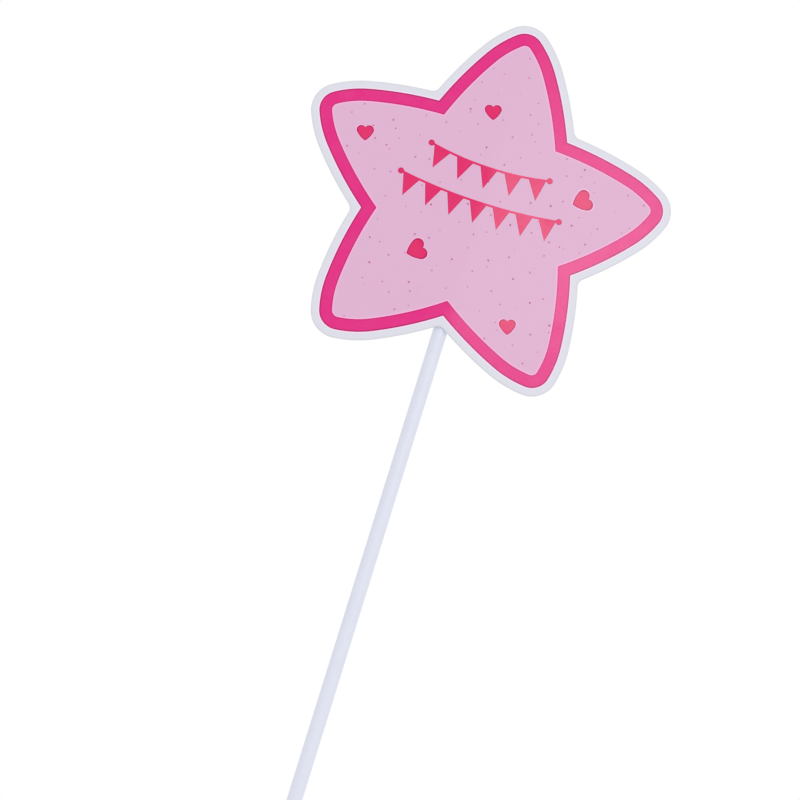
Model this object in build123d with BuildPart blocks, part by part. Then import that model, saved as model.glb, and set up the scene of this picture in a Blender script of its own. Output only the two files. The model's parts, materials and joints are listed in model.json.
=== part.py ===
from build123d import *
from math import acos, asin, atan2, cos, degrees, pi, radians, sin, sqrt, tan
import os

# Cake topper: a printed star card, slightly folded round a plastic stick and taped to its flattened end.
# Millimetres. The stick stands on the Z axis with its lower end at the origin, and the print faces -Y.

os.makedirs("parts", exist_ok=True)

# Star, measured on the outer edge of the printed band, but its tips' rounding on the field inside the band
# Its arms differ a little: clockwise from the top, how far each tip reaches and how far left it leans
tip_radii = [44.9, 45.4, 45.3, 46.1, 45.0]
lean_angles = [0.0, -0.1, -0.2, 0.9, -0.2]
notch_radius = 27.55
field_tip_round = 1.6
shoulder_radius = 26.4
flank_radius = 90.0
# Share of a straight side's turn that the round tip takes before the shoulder begins
tip_turn_share = 0.667
band_width = 3.05
bare_edge = 1.95
notch_round = 2.0

# Layers of the card from back to front, and the shallow fold along the stick
card_thickness = 0.5
ink_thickness = 0.04
film_thickness = 0.06
fold_angle = 2.2
fold_radius = 12.0
# The star's centre lies a little to the left of the stick
star_aside = -0.55

# Stick: a round tube whose upper end is pressed flat and welded shut
stick_diameter = 3.5
stick_bore = 1.9
stick_length = 180.0
stick_above_centre = 18.0
stick_end_chamfer = 0.15
press_thickness = 1.7
press_run = 10.0
notch_clearance = 2.5

# Tape over the flat end
tape_width = 22.0
tape_thickness = 0.1
tape_margin = 3.0
tape_bridge = 3.0

# Hearts: shares of a heart's width for its lobes, its point and its sides
lobe_round_share = 0.275
lobe_place_share = 0.5 - lobe_round_share
point_share = 0.645
side_round_share = 1.3
small_heart_width = 4.12
large_heart_width = 5.23
small_heart_lean_angle = 15.8
large_heart_lean_angle = -52.8
# Their places: shares of the notch radius, and angles round the star's centre
small_heart_shares = [0.888, 1.177, 1.049]
small_heart_angles = [97.5, 162.2, -58.3]
large_heart_shares = [0.963, 0.619]
large_heart_angles = [22.7, -126.0]

# Bunting: two strings of pennants; the rows' half spans and heights are shares of the notch radius
string_width = 0.55
string_sag = 1.7
knot_diameter = 1.5
pennant_width = 4.3
pennant_height = 5.2
upper_row_share = 0.54
lower_row_share = 0.72
upper_row_height_share = 0.43
lower_row_height_share = 0.11
upper_row_pennants = 5
lower_row_pennants = 7

# Places worked out from the sizes above
stick_radius = stick_diameter / 2
star_centre = stick_length - stick_above_centre
arm_count = len(tip_radii)
half_arm_angle = 180 / arm_count
tip_round = field_tip_round + band_width
card_reach = max(tip_radii) + bare_edge + abs(star_aside)
print_depth = card_thickness + ink_thickness
front_depth = print_depth + film_thickness
# The flattened tube keeps its outer girth
press_width = press_thickness + pi * (stick_diameter - press_thickness) / 2
press_round = press_thickness / 2
press_straight = press_width / 2 - press_round
press_middle = press_round - stick_radius
press_back = press_thickness - stick_radius
# Looking at the front: x to the right, y up, from the star's centre
front_plane = Plane((star_aside, 0, star_centre), x_dir=(1, 0, 0), z_dir=(0, -1, 0))


def side_centre(round_centre, round_radius, corner, side_radius):
    """Centre of a wide arc that runs on smoothly from a round end and stops at a corner."""
    span = corner - round_centre
    reach = side_radius - round_radius
    along = (reach**2 - side_radius**2 + span.length**2) / (2 * span.length)
    across = sqrt(reach**2 - along**2)
    toward = span.normalized()
    return round_centre + toward * along + Vector(toward.Y, -toward.X) * across


def half_arm_centres(tip_radius, notch_angle):
    """Centres of the arcs of tip, shoulder and flank on an upright arm's right half, down to its notch."""
    tip_centre = Vector(0, tip_radius - tip_round)
    notch = Vector(0, notch_radius).rotate(Axis.Z, -notch_angle)
    notch_span = notch - tip_centre
    side_turn = atan2(notch_span.X, notch_span.Y) - acos(tip_round / notch_span.length)
    tip_turn = tip_turn_share * side_turn
    shoulder_centre = tip_centre - Vector(sin(tip_turn), cos(tip_turn)) * (shoulder_radius - tip_round)
    return tip_centre, shoulder_centre, side_centre(shoulder_centre, shoulder_radius, notch, flank_radius)


# Every outline of the star is one family of arcs about these centres: left and right half of each arm
arms = []
for arm, (tip_radius, lean_angle) in enumerate(zip(tip_radii, lean_angles)):
    arm_angle = lean_angle - 2 * half_arm_angle * arm
    halves = []
    for side in (-1, 1):
        centres = half_arm_centres(tip_radius, half_arm_angle + side * lean_angle)
        halves.append([Vector(side * p.X, p.Y).rotate(Axis.Z, arm_angle) for p in centres])
    arms.append(halves)


def notch_corner(arm, grow):
    """Where the flanks of an arm and of the next one clockwise cross, on the star grow outside the band."""
    here = arms[arm][1][2]
    there = arms[(arm + 1) % arm_count][0][2]
    half_span = (there - here) / 2
    outward = half_span.normalized().rotate(Axis.Z, 90)
    return here + half_span + outward * sqrt((flank_radius + grow) ** 2 - half_span.length**2)


def half_arm_edge(centres, corner, grow):
    """Points from the end of a tip's round to a notch: ends and middles of the shoulder and of the flank."""
    tip_centre, shoulder_centre, flank_centre = centres
    tip_way = (tip_centre - shoulder_centre).normalized()
    flank_way = (shoulder_centre - flank_centre).normalized()
    corner_way = (corner - flank_centre).normalized()
    return [
        tip_centre + tip_way * (tip_round + grow),
        shoulder_centre + (tip_way + flank_way).normalized() * (shoulder_radius + grow),
        flank_centre + flank_way * (flank_radius + grow),
        flank_centre + (flank_way + corner_way).normalized() * (flank_radius + grow),
        corner,
    ]


def star_face(grow, corner_round=0):
    """Star whose edge lies grow outside the printed band, with its notches rounded if asked."""
    with BuildSketch() as star:
        with BuildLine():
            for arm, halves in enumerate(arms):
                tip_centre = halves[0][0]
                tip = tip_centre + tip_centre.normalized() * (tip_round + grow)
                left = half_arm_edge(halves[0], notch_corner(arm - 1, grow), grow)
                right = half_arm_edge(halves[1], notch_corner(arm, grow), grow)
                ThreePointArc(left[4], left[3], left[2])
                ThreePointArc(left[2], left[1], left[0])
                ThreePointArc(left[0], tip, right[0])
                ThreePointArc(right[0], right[1], right[2])
                ThreePointArc(right[2], right[3], right[4])
        make_face()
        if corner_round:
            fillet(star.vertices().sort_by(SortBy.DISTANCE)[:arm_count], corner_round)
    return star.sketch


def heart_face(width):
    """Heart about the middle of the line through its lobes' centres, point down."""
    lobe_round = lobe_round_share * width
    lobe = Vector(lobe_place_share * width, 0)
    point = Vector(0, -point_share * width)
    side_round = side_round_share * width
    centre = side_centre(lobe, lobe_round, point, side_round)
    joint_way = (lobe - centre).normalized()
    point_way = (point - centre).normalized()
    joint = centre + joint_way * side_round
    middle = centre + (joint_way + point_way).normalized() * side_round
    crown = lobe + Vector(lobe_round, 0).rotate(Axis.Z, 45)
    dip = Vector(0, sqrt(lobe_round**2 - lobe.X**2))
    with BuildSketch() as heart:
        with BuildLine():
            ThreePointArc(dip, crown, joint)
            ThreePointArc(joint, middle, point)
            Line(point, dip)
        make_face()
        mirror(about=Plane.YZ)
    return heart.sketch


def bunting_face(half_span, pennants):
    """A sagging string with pennants square to it and a knot at each end, about the middle of its ends."""
    swing = (half_span**2 + string_sag**2) / (2 * string_sag)
    half_turn = degrees(asin(half_span / swing))
    pitch = 2 * half_turn / pennants
    hub = (0, swing - string_sag)
    with BuildSketch() as row:
        with BuildLine():
            outer = CenterArc(hub, swing + string_width / 2, -90 - half_turn, 2 * half_turn)
            inner = CenterArc(hub, swing - string_width / 2, -90 - half_turn, 2 * half_turn)
            Line(outer @ 0, inner @ 0)
            Line(outer @ 1, inner @ 1)
        make_face()
        with Locations((-half_span, 0), (half_span, 0)):
            Circle(knot_diameter / 2)
        with Locations(hub):
            first_turn = -90 - half_turn + pitch / 2
            with PolarLocations(swing, pennants, first_turn, 2 * half_turn - pitch, endpoint=True):
                Polygon((0, -pennant_width / 2), (pennant_height, 0), (0, pennant_width / 2), align=None)
    return row.sketch


def sheet_point(across, depth):
    """Point of the folded sheet's right half: across from the middle, depth in front of the card's back."""
    turn = radians(fold_angle)
    bend_end = press_width / 2 + (fold_radius + depth) * sin(turn)
    bend_drop = fold_radius - (fold_radius + depth) * cos(turn) - stick_radius
    return Vector(across, bend_drop + (across - bend_end) * tan(turn))


def folded_sheet(near, far):
    """Sheet between two depths before the card's back: flat over the stick, turned back on both sides."""
    bend_way = Vector(sin(radians(fold_angle)), -cos(radians(fold_angle)))
    half_bend_way = Vector(sin(radians(fold_angle / 2)), -cos(radians(fold_angle / 2)))
    bend_centre = Vector(press_width / 2, fold_radius - stick_radius)
    with BuildPart() as sheet:
        with BuildSketch(Plane.XY.offset(star_centre - card_reach)):
            with BuildLine():
                edges = []
                for depth in (near, far):
                    crest = Vector(press_width / 2, -stick_radius - depth)
                    wing = bend_centre + bend_way * (fold_radius + depth)
                    bend = bend_centre + half_bend_way * (fold_radius + depth)
                    Line((0, crest.Y), crest)
                    ThreePointArc(crest, bend, wing)
                    edges.append(Line(wing, sheet_point(card_reach, depth)))
                Line((0, -stick_radius - near), (0, -stick_radius - far))
                Line(edges[0] @ 1, edges[1] @ 1)
            make_face()
            mirror(about=Plane.YZ)
        extrude(amount=2 * card_reach)
    return sheet.part


card_outline = star_face(bare_edge, notch_round)
band_outline = star_face(0)
field_outline = star_face(-band_width)
small_heart = heart_face(small_heart_width)
large_heart = heart_face(large_heart_width)
upper_row = bunting_face(upper_row_share * notch_radius, upper_row_pennants)
lower_row = bunting_face(lower_row_share * notch_radius, lower_row_pennants)


def heart_spots(shares, angles, lean_angle):
    """Places of hearts on the star, leaning as printed."""
    spots = [Vector(share * notch_radius, 0).rotate(Axis.Z, angle) for share, angle in zip(shares, angles)]
    return [Location((spot.X, spot.Y, 0), (0, 0, lean_angle)) for spot in spots]


small_spots = heart_spots(small_heart_shares, small_heart_angles, small_heart_lean_angle)
large_spots = heart_spots(large_heart_shares, large_heart_angles, large_heart_lean_angle)
hearts = [spot * small_heart for spot in small_spots] + [spot * large_heart for spot in large_spots]
bunting = [
    Location((0, upper_row_height_share * notch_radius, 0)) * upper_row,
    Location((0, lower_row_height_share * notch_radius, 0)) * lower_row,
]
card_sheet = folded_sheet(0, card_thickness)
ink_sheet = folded_sheet(card_thickness, print_depth)
cover_sheet = folded_sheet(card_thickness, front_depth)

# Star card, the white board
with BuildPart() as star_card:
    with BuildSketch(front_plane):
        add(card_outline)
    extrude(amount=card_reach, both=True)
    add(card_sheet, mode=Mode.INTERSECT)
star_card.part.label = "star_card"
export_step(star_card.part, "parts/star_card.step")

# Printed band round the star
with BuildPart() as print_band:
    with BuildSketch(front_plane):
        add(band_outline)
        add(field_outline, mode=Mode.SUBTRACT)
    extrude(amount=card_reach, both=True)
    add(ink_sheet, mode=Mode.INTERSECT)
print_band.part.label = "print_band"
export_step(print_band.part, "parts/print_band.step")

# Printed field, left open where the hearts and the bunting are printed
with BuildPart() as print_field:
    with BuildSketch(front_plane):
        add(field_outline)
        add(hearts, mode=Mode.SUBTRACT)
        add(bunting, mode=Mode.SUBTRACT)
    extrude(amount=card_reach, both=True)
    add(ink_sheet, mode=Mode.INTERSECT)
print_field.part.label = "print_field"
export_step(print_field.part, "parts/print_field.step")

# Printed hearts
with BuildPart() as print_hearts:
    with BuildSketch(front_plane):
        add(hearts)
    extrude(amount=card_reach, both=True)
    add(ink_sheet, mode=Mode.INTERSECT)
print_hearts.part.label = "print_hearts"
export_step(print_hearts.part, "parts/print_hearts.step")

# Printed bunting
with BuildPart() as print_bunting:
    with BuildSketch(front_plane):
        add(bunting)
    extrude(amount=card_reach, both=True)
    add(ink_sheet, mode=Mode.INTERSECT)
print_bunting.part.label = "print_bunting"
export_step(print_bunting.part, "parts/print_bunting.step")

# Room that the ink takes up under the film
with BuildPart() as ink_room:
    with BuildSketch(front_plane):
        add(band_outline)
    extrude(amount=card_reach, both=True)
    add(ink_sheet, mode=Mode.INTERSECT)

# Clear gloss film over the print and the bare edge
with BuildPart() as gloss_film:
    with BuildSketch(front_plane):
        add(card_outline)
    extrude(amount=card_reach, both=True)
    add(cover_sheet, mode=Mode.INTERSECT)
    add(ink_room.part, mode=Mode.SUBTRACT)
gloss_film.part.label = "gloss_film"
export_step(gloss_film.part, "parts/gloss_film.step")

# Stick: round up to just below the lowest notch, then pressed flat, with its front line against the card
lowest_notch = notch_corner(arm_count // 2, bare_edge)
round_top = star_centre + lowest_notch.Y - notch_clearance
flat_low = round_top + press_run
quarter = stick_radius * sqrt(0.5)
with BuildPart() as stick:
    with BuildSketch():
        Circle(stick_radius)
    extrude(amount=round_top)
    with BuildSketch(Plane.XY.offset(round_top)):
        with BuildLine():
            ThreePointArc((-quarter, -quarter), (0, -stick_radius), (quarter, -quarter))
            ThreePointArc((quarter, -quarter), (stick_radius, 0), (quarter, quarter))
            ThreePointArc((quarter, quarter), (0, stick_radius), (-quarter, quarter))
            ThreePointArc((-quarter, quarter), (-stick_radius, 0), (-quarter, -quarter))
        make_face()
    with BuildSketch(Plane.XY.offset(flat_low)) as flat_end:
        with BuildLine():
            Line((-press_straight, -stick_radius), (press_straight, -stick_radius))
            ThreePointArc(
                (press_straight, -stick_radius),
                (press_width / 2, press_middle),
                (press_straight, press_back),
            )
            Line((press_straight, press_back), (-press_straight, press_back))
            ThreePointArc(
                (-press_straight, press_back),
                (-press_width / 2, press_middle),
                (-press_straight, -stick_radius),
            )
        make_face()
    loft()
    extrude(flat_end.sketch, amount=stick_length - flat_low)
    with BuildSketch(Plane.XZ):
        Polygon(
            (0, 0),
            (stick_bore / 2, 0),
            (stick_bore / 2, round_top),
            (0, round_top + press_run / 2),
            align=None,
        )
    revolve(axis=Axis.Z, mode=Mode.SUBTRACT)
    chamfer(stick.faces().sort_by(Axis.Z)[0].outer_wire().edges(), stick_end_chamfer)
stick.part.label = "stick"
export_step(stick.part, "parts/stick.step")

# Tape: across the flat back of the stick, down past its rounded edge and out along the card's back
tape_foot = sheet_point(press_width / 2 + tape_bridge, 0)
tape_edge = sheet_point(tape_width / 2, 0)
edge_centre = Vector(press_straight, press_middle)
foot_span = tape_foot - edge_centre
leave_turn = degrees(acos(press_round / foot_span.length))
leave_way = foot_span.normalized().rotate(Axis.Z, leave_turn)
edge_way = (leave_way + Vector(0, 1)).normalized()
wing_way = Vector(-sin(radians(fold_angle)), cos(radians(fold_angle)))
foot_way = (leave_way + wing_way) / (1 + leave_way.dot(wing_way))
outer_round = press_round + tape_thickness
tape_low = flat_low + tape_margin
tape_high = stick_length - tape_margin
with BuildPart() as back_tape:
    with BuildSketch(Plane.XY.offset(tape_low)):
        with BuildLine():
            under = edge_centre + leave_way * press_round
            over = edge_centre + leave_way * outer_round
            Line((0, press_back), (press_straight, press_back))
            ThreePointArc((press_straight, press_back), edge_centre + edge_way * press_round, under)
            Line(under, tape_foot)
            Line(tape_foot, tape_edge)
            Line(tape_edge, tape_edge + wing_way * tape_thickness)
            Line(tape_edge + wing_way * tape_thickness, tape_foot + foot_way * tape_thickness)
            Line(tape_foot + foot_way * tape_thickness, over)
            ThreePointArc(
                over, edge_centre + edge_way * outer_round, (press_straight, press_back + tape_thickness)
            )
            Line((press_straight, press_back + tape_thickness), (0, press_back + tape_thickness))
            Line((0, press_back + tape_thickness), (0, press_back))
        make_face()
        mirror(about=Plane.YZ)
    extrude(amount=tape_high - tape_low)
back_tape.part.label = "back_tape"
export_step(back_tape.part, "parts/back_tape.step")
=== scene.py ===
# %% [markdown]
# # A star cake topper, dressed piece by piece
#
# The object is a printed star card, taped to the flattened end of a white plastic stick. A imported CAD
# model gives the sizes and places. It is loaded first and never moved. Each step below makes one piece or
# one finish with numpy and shader nodes, and says what it is on the real thing and why it is made that way.

import json
import math

import bmesh
import bpy
import numpy as np
from mathutils import Matrix, Vector


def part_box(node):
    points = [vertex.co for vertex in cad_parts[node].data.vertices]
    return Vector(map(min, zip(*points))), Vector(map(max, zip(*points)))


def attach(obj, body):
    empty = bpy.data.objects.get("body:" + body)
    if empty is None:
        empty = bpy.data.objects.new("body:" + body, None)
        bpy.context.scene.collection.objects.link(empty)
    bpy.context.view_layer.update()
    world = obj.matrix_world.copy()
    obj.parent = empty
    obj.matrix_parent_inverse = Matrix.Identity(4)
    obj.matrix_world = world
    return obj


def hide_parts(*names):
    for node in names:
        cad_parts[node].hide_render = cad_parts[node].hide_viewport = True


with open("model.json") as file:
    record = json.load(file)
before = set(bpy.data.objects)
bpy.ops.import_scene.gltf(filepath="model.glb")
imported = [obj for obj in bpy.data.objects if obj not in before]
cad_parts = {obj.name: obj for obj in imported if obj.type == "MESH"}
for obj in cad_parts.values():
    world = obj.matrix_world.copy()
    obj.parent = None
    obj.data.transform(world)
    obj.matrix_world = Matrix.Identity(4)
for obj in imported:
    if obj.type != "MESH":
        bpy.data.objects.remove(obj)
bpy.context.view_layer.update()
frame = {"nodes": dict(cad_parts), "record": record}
scene = bpy.context.scene
MM = 0.001
print("CAD nodes:", sorted(frame["nodes"]))

# %% [markdown]
# ## The star's outline
#
# Every edge on the card, cut or printed, is the same star, grown or shrunk: a round tip, a shoulder, a wide
# flank that bulges a little, and a notch between two arms. The arms aren't quite alike: the lower left one
# is the longest and leans. A bezier curve could be drawn over a picture of it, but arcs say the shape with
# a few sizes, and an arc that is grown stays an arc, so one function gives all the outlines.

# %% Sizes of the star, in millimetres and degrees, its arms clockwise from the top
tip_radii = [44.9, 45.4, 45.3, 46.1, 45.0]
lean_angles = [0.0, -0.1, -0.2, 0.9, -0.2]
notch_radius = 27.55
field_tip_round = 1.6
shoulder_radius = 26.4
flank_radius = 90.0
tip_turn_share = 0.667
bare_edge = 1.95
band_width = 3.05
star_aside = -0.55
tip_round = field_tip_round + band_width
arm_count = len(tip_radii)
half_arm = math.pi / arm_count
star_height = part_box("star_card")[1].z / MM - tip_radii[0] - bare_edge
print("the star's centre is", round(star_height, 2), "mm above the stick's lower end")


# %% Arcs
def heading(way):
    """Angle of a direction, counted from the X axis."""
    return math.atan2(way[1], way[0])


def arc(centre, radius, start, end, count):
    """Points on a circle: its centre plus its radius times the cosine and sine of evenly stepped angles."""
    angle = np.linspace(start, end, count)
    return centre + radius * np.stack([np.cos(angle), np.sin(angle)], axis=-1)


def short_arc(centre, radius, start_way, end_way, count):
    """Points on a circle from one direction to another, the short way round."""
    start = heading(start_way)
    turn = (heading(end_way) - start + math.pi) % (2 * math.pi) - math.pi
    return arc(centre, radius, start, start + turn, count)


def turned(points, angle):
    """Flat points turned about the origin: x cos - y sin, and x sin + y cos."""
    x, y = points[..., 0], points[..., 1]
    return np.stack([x * np.cos(angle) - y * np.sin(angle), x * np.sin(angle) + y * np.cos(angle)], axis=-1)


def side_centre(round_centre, round_radius, corner, side_radius):
    """Centre of a wide arc that leaves a round end smoothly and stops at a corner.

    It is as far from the round end's centre as the two radii differ, and one side radius from the corner.
    So it is where those two circles cross: a step along the line between them, then a step square to it.
    """
    span = corner - round_centre
    length = np.linalg.norm(span)
    toward = span / length
    reach = side_radius - round_radius
    along = (reach**2 - side_radius**2 + length**2) / (2 * length)
    across = math.sqrt(reach**2 - along**2)
    return round_centre + toward * along + np.array([toward[1], -toward[0]]) * across


print("three points of a quarter circle:", arc(np.zeros(2), 1, 0, math.pi / 2, 3).round(2).tolist())


# %% Centres of the three arcs of each half arm
def half_arm_centres(tip_radius, notch_turn):
    """Centres of the arcs of tip, shoulder and flank on an upright arm's right half, down to its notch."""
    tip = np.array([0, tip_radius - tip_round])
    notch = notch_radius * np.array([math.sin(notch_turn), math.cos(notch_turn)])
    span = notch - tip
    side_turn = math.atan2(*span) - math.acos(tip_round / np.linalg.norm(span))
    tip_turn = tip_turn_share * side_turn
    shoulder = tip - np.array([math.sin(tip_turn), math.cos(tip_turn)]) * (shoulder_radius - tip_round)
    return np.stack([tip, shoulder, side_centre(shoulder, shoulder_radius, notch, flank_radius)])


arms = []
for arm, (tip_radius, lean) in enumerate(zip(tip_radii, np.radians(lean_angles))):
    halves = [half_arm_centres(tip_radius, half_arm + side * lean) * [side, 1] for side in (-1, 1)]
    arms.append(turned(np.stack(halves), lean - 2 * half_arm * arm))
print("longest arm:", max(tip_radii), "mm, shortest:", min(tip_radii), "mm")

# %% One function for every star
tip_steps = 10
shoulder_steps = 12
flank_steps = 18
notch_steps = 6
card_notch_round = 2.0


def notch_round_centre(arm, reach):
    """Centre of the notch clockwise of an arm, and the way from it to the star.

    It is where circles of one radius about the two flanks' centres cross: half way between them, then out.
    """
    here = arms[arm][1, 2]
    there = arms[(arm + 1) % arm_count][0, 2]
    half_span = (there - here) / 2
    length = np.linalg.norm(half_span)
    outward = np.array([-half_span[1], half_span[0]]) / length
    return here + half_span + outward * math.sqrt(reach**2 - length**2), -outward


def star_outline(grow, notch_round):
    """Closed star that lies grow outside the printed band's edge, as points (x, y) about the star's centre.

    Half an arm is an arc about the tip's centre, one about the shoulder's, one about the flank's, and a
    small arc to the middle of the notch. The left half runs back to the tip, and the right half from it.
    """
    outline = []
    for arm, halves in enumerate(arms):
        runs = []
        for notch_arm, (tip, shoulder, flank) in zip((arm - 1, arm), halves):
            notch, inward = notch_round_centre(notch_arm, flank_radius + grow + notch_round)
            first, second = tip - shoulder, shoulder - flank
            crown = short_arc(tip, tip_round + grow, tip, first, tip_steps)
            bend = short_arc(shoulder, shoulder_radius + grow, first, second, shoulder_steps)
            side = short_arc(flank, flank_radius + grow, second, notch - flank, flank_steps)
            corner = short_arc(notch, notch_round, flank - notch, inward, notch_steps)
            runs.append(np.concatenate([crown, bend[1:], side[1:], corner[1:]]))
        outline += [runs[0][::-1], runs[1][1:-1]]
    return np.concatenate(outline)


print("points round the card:", len(star_outline(bare_edge, card_notch_round)))

# %% [markdown]
# ## The folded sheet
#
# The card lies over the flat end of the stick and falls back a little on both sides. The shallow ridge down
# its middle splits the gloss of the photographed front into two halves. A bend modifier could make it, but a
# formula keeps every layer in step: each flat point is carried onto the same hyperbola, whose arms are the
# two wings and whose rounded middle is the ridge.

# %% From flat points to the folded card
stick_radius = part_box("stick")[1].y / MM
crest_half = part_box("stick")[1].x / MM
fold_slope = math.tan(math.radians(2.2))
card_thickness = 0.5
ink_and_film = 0.1
print_relief = 0.008
film_front = card_thickness + ink_and_film - print_relief


def card_back(x):
    """Y of the card's back: slope times sqrt(x^2 + c^2) - c, less the stick's radius; c is crest_half."""
    return fold_slope * (np.sqrt(x**2 + crest_half**2) - crest_half) - stick_radius


def on_card(flat, depth):
    """Carries flat points about the star's centre onto the card, depth in front of its back."""
    x = flat[..., 0] + star_aside
    return np.stack([x, card_back(x) - depth, star_height + flat[..., 1]], axis=-1)


wing_fall = card_back(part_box("star_card")[1].x / MM) - card_back(0)
print("a wing falls back", round(wing_fall, 2), "mm at the right tip")


# %% [markdown]
# ## Closed surfaces from grids
#
# A mesh that may be printed or measured has to be closed, with its faces outwards. Two patterns are enough
# here: a stack of rings, closed by a pole at each end or by joining the last ring to the first, and a patch
# with a front, a back and a wall along its border. Both number their points as a grid, so the faces come
# from shifted copies of the numbers, and no loop goes over the vertices.

# %% Rings and patches
def ring_surface(rings, poles=None):
    """Points and faces of rings (row, column, xyz): quads between the rings, and a fan to each pole.

    Without poles the last ring joins the first one. Faces are a list of arrays, one of quads and the fans.
    """
    rows, columns = rings.shape[:2]
    numbers = np.arange(rows * columns).reshape(rows, columns)
    above = np.roll(numbers, -1, axis=0)
    if poles is not None:
        numbers, above = numbers[:-1], above[:-1]
    quads = np.stack([numbers, np.roll(numbers, -1, 1), np.roll(above, -1, 1), above], axis=-1)
    points = rings.reshape(-1, 3)
    faces = [quads.reshape(-1, 4)]
    if poles is not None:
        for pole, ring in enumerate((numbers[0], above[-1]), start=rows * columns):
            faces.append(np.stack([np.full(columns, pole), ring, np.roll(ring, -1)], axis=-1))
        points = np.concatenate([points, poles])
    return points, faces


def patch_surface(front, back):
    """Points and faces of a plate between two open grids of the same size, with a wall along the border."""
    rows, columns = front.shape[:2]
    count = rows * columns
    numbers = np.arange(count).reshape(rows, columns)
    quads = np.stack([numbers[:-1, :-1], numbers[:-1, 1:], numbers[1:, 1:], numbers[1:, :-1]], axis=-1)
    quads = quads.reshape(-1, 4)
    border = np.concatenate([numbers[0, :-1], numbers[:-1, -1], numbers[-1, :0:-1], numbers[:0:-1, 0]])
    walls = np.stack([border, np.roll(border, -1), np.roll(border, -1) + count, border + count], axis=-1)
    points = np.concatenate([front.reshape(-1, 3), back.reshape(-1, 3)])
    return points, [quads, quads + count, walls]


small_patch = patch_surface(np.zeros((3, 4, 3)), np.ones((3, 4, 3)))
print("faces of a patch of 3 by 4 points:", [len(block) for block in small_patch[1]])

# %% From a surface to a piece of the object
sharp_from = math.radians(40)


def front_first(surface, values):
    """Values for a surface whose front points come first: the given ones, then 0 for all other points."""
    return np.concatenate([np.ravel(values), np.zeros(len(surface[0]) - np.size(values))])


def make_object(name, surface, finish, unit, **front_values):
    """Makes a mesh object from points times a unit: outward and smooth, with values on its points."""
    points, faces = surface
    mesh = bpy.data.meshes.new(name)
    mesh.from_pydata((points * unit).tolist(), [], [face for block in faces for face in block.tolist()])
    shell = bmesh.new()
    shell.from_mesh(mesh)
    bmesh.ops.recalc_face_normals(shell, faces=shell.faces)
    shell.to_mesh(mesh)
    shell.free()
    mesh.shade_smooth()
    mesh.set_sharp_from_angle(angle=sharp_from)
    for key, values in front_values.items():
        numbers = front_first(surface, values).astype(np.float32)
        mesh.attributes.new(key, "FLOAT", "POINT").data.foreach_set("value", numbers)
    mesh.materials.append(finish)
    made = bpy.data.objects.new(name, mesh)
    scene.collection.objects.link(made)
    print(name, "has", len(mesh.vertices), "points and", len(mesh.polygons), "faces")
    return made


def make_piece(name, surface, finish, slot, node, **front_values):
    """Makes a piece from points in millimetres; it stands for a CAD node and moves with the object."""
    piece = make_object(name, surface, finish, MM, **front_values)
    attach(piece, "root")
    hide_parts(node)


# %% [markdown]
# ## Node helpers
#
# A finish is a small node tree. Written out with bpy, each node takes several lines, so one helper adds a
# node, sets it up and fills its inputs, and the others build on it.


# %% Adding nodes
def fill(tree, node, inputs):
    """Fills a node's inputs, given by name or number: another node's output is linked, a value is set."""
    for key, value in dict(inputs).items():
        if isinstance(value, bpy.types.NodeSocket):
            tree.links.new(value, node.inputs[key])
        else:
            node.inputs[key].default_value = value


def add(tree, kind, inputs=(), **settings):
    """Adds one node with its settings and inputs; kind is its type's name after ShaderNode."""
    made = tree.nodes.new("ShaderNode" + kind)
    for key, value in settings.items():
        setattr(made, key, value)
    fill(tree, made, inputs)
    return made


def new_group(name, kind, inputs, outputs):
    """A shader node group with named sockets of one kind; gives its tree, its input and its output node."""
    tree = bpy.data.node_groups.new(name, "ShaderNodeTree")
    for side, labels in (("INPUT", inputs), ("OUTPUT", outputs)):
        for label in labels:
            tree.interface.new_socket(label, in_out=side, socket_type=kind)
    return tree, tree.nodes.new("NodeGroupInput"), tree.nodes.new("NodeGroupOutput")


def new_finish(name):
    """A material with a Principled shader; gives the material, its tree and the shader."""
    finish = bpy.data.materials.new(name)
    finish.use_nodes = True
    return finish, finish.node_tree, finish.node_tree.nodes["Principled BSDF"]


# %% Values and colours
def calc(tree, operation, first, second=0.0, clamp=False):
    """One step of arithmetic."""
    made = add(tree, "Math", {0: first, 1: second}, operation=operation, use_clamp=clamp)
    return made.outputs[0]


def weighted(tree, *parts):
    """Sum of values, each times its weight."""
    total = 0.0
    for value, weight in parts:
        step = {0: value, 1: weight, 2: total}
        total = add(tree, "Math", step, operation="MULTIPLY_ADD").outputs[0]
    return total


def ramp(tree, value, span=(0, 1), to=(0, 1)):
    """A value carried smoothly from one span of numbers to another."""
    ends = zip(("Value", "From Min", "From Max", "To Min", "To Max"), (value, *span, *to))
    return add(tree, "MapRange", ends, interpolation_type="SMOOTHSTEP").outputs["Result"]


# The Mix node keeps its sockets for numbers, vectors and colours side by side: these are the colours' ones
mix_inputs = (0, 6, 7)
mix_result = 2


def blend_colours(tree, share, first, second):
    """Two colours mixed by a share."""
    ends = zip(mix_inputs, (share, first, second))
    return add(tree, "Mix", ends, data_type="RGBA").outputs[mix_result]


# %% Places and patterns
def object_place(tree):
    """Place on the piece in its own coordinates, which are the CAD frame's."""
    return add(tree, "TexCoord").outputs["Object"]


def point_value(tree, name):
    """A value that the piece's points carry, such as how near they are to an edge."""
    return add(tree, "Attribute", attribute_name=name).outputs["Fac"]


def swung(tree, where, *angles):
    """Coordinates turned about X, Y and Z."""
    return add(tree, "Mapping", {"Vector": where, "Rotation": angles}).outputs[0]


def noise(tree, size, detail=2.0, roughness=0.5, output="Fac", where=None):
    """Cloudy noise whose lumps are about size millimetres across, or have three sizes along X, Y and Z."""
    scale = np.broadcast_to(1 / (np.array(size) * MM), 3).tolist()
    if where is None:
        where = object_place(tree)
    place = add(tree, "Mapping", {"Vector": where, "Scale": scale}).outputs[0]
    inputs = {"Vector": place, "Scale": 1.0, "Detail": detail, "Roughness": roughness}
    return add(tree, "TexNoise", inputs).outputs[output]


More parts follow.
